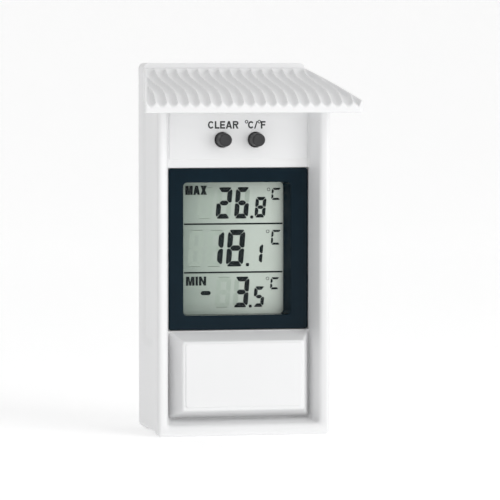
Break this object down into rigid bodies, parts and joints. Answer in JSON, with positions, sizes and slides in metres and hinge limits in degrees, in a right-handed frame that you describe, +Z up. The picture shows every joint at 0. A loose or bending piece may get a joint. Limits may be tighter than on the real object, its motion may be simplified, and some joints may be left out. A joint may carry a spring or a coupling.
{
  "type": "maximum minimum thermometer",
  "caption": "Digital maximum and minimum thermometer for an outdoor wall, with a corrugated roof over a deep tray, a recessed display, push buttons and a pull-off battery cover.",
  "frame": {"origin": "middle of the base, at the bounding box's bottom centre", "axes": "+Z up, the display faces -Y, the wall is at +Y, +X to the viewer's right"},
  "size_m": [0.0784, 0.06, 0.132],
  "materials": {
    "white_plastic": "smooth white moulded plastic, satin",
    "gloss_black": "glossy black",
    "clear_acrylic": "clear acrylic",
    "lcd_glass": "grey-green liquid crystal display",
    "lcd_segment": "dark display segments",
    "button_rubber": "dark grey soft-touch",
    "legend_ink": "printed dark ink",
    "zebra_elastomer": "layered elastomer",
    "circuit_board": "green solder mask",
    "black_epoxy": "cast epoxy",
    "nickel_plate": "nickel plated spring steel",
    "zinc_screw": "zinc plated steel",
    "cell_jacket": "plain printed cell jacket",
    "ceramic": "ceramic chip",
    "red_wire": "red wire insulation",
    "black_wire": "black wire insulation"
  },
  "bodies": {
    "housing": {"front_housing": "white_plastic", "rear_housing": "white_plastic", "roof": "white_plastic", "lcd_frame": "white_plastic", "display_bezel": "gloss_black", "display_window": "clear_acrylic", "lcd_panel": "lcd_glass", "zebra_strip_lower": "zebra_elastomer", "zebra_strip_upper": "zebra_elastomer", "circuit_board": "circuit_board", "controller_chip": "black_epoxy", "thermistor": "black_epoxy", "clock_crystal": "nickel_plate", "filter_capacitor": "black_wire", "capacitor_left": "ceramic", "capacitor_right": "ceramic", "switch_clear": "nickel_plate", "switch_unit": "nickel_plate", "battery": "cell_jacket", "contact_negative": "nickel_plate", "contact_positive": "nickel_plate", "battery_spring": "nickel_plate", "battery_lead_red": "red_wire", "battery_lead_black": "black_wire", "housing_screw_upper_left": "zinc_screw", "board_screw_upper_left": "zinc_screw", "housing_screw_upper_right": "zinc_screw", "board_screw_upper_right": "zinc_screw", "housing_screw_lower_left": "zinc_screw", "board_screw_lower_left": "zinc_screw", "housing_screw_lower_right": "zinc_screw", "board_screw_lower_right": "zinc_screw"},
    "clear_button": {"button_clear": "button_rubber", "switch_plunger_clear": "black_wire"},
    "unit_button": {"button_unit": "button_rubber", "switch_plunger_unit": "black_wire"},
    "cover": {"battery_cover": "white_plastic"}
  },
  "joints": [
    {"name": "clear_button_press", "type": "slide", "parent": "housing", "child": "clear_button", "axis": [0, 1, 0], "range_m": [0, 0.001], "stiffness_N_per_m": 800},
    {"name": "unit_button_press", "type": "slide", "parent": "housing", "child": "unit_button", "axis": [0, 1, 0], "range_m": [0, 0.001], "stiffness_N_per_m": 800},
    {"name": "battery_cover_pull", "type": "slide", "parent": "housing", "child": "cover", "axis": [0, -1, 0], "range_m": [0, 0.03]}
  ]
}
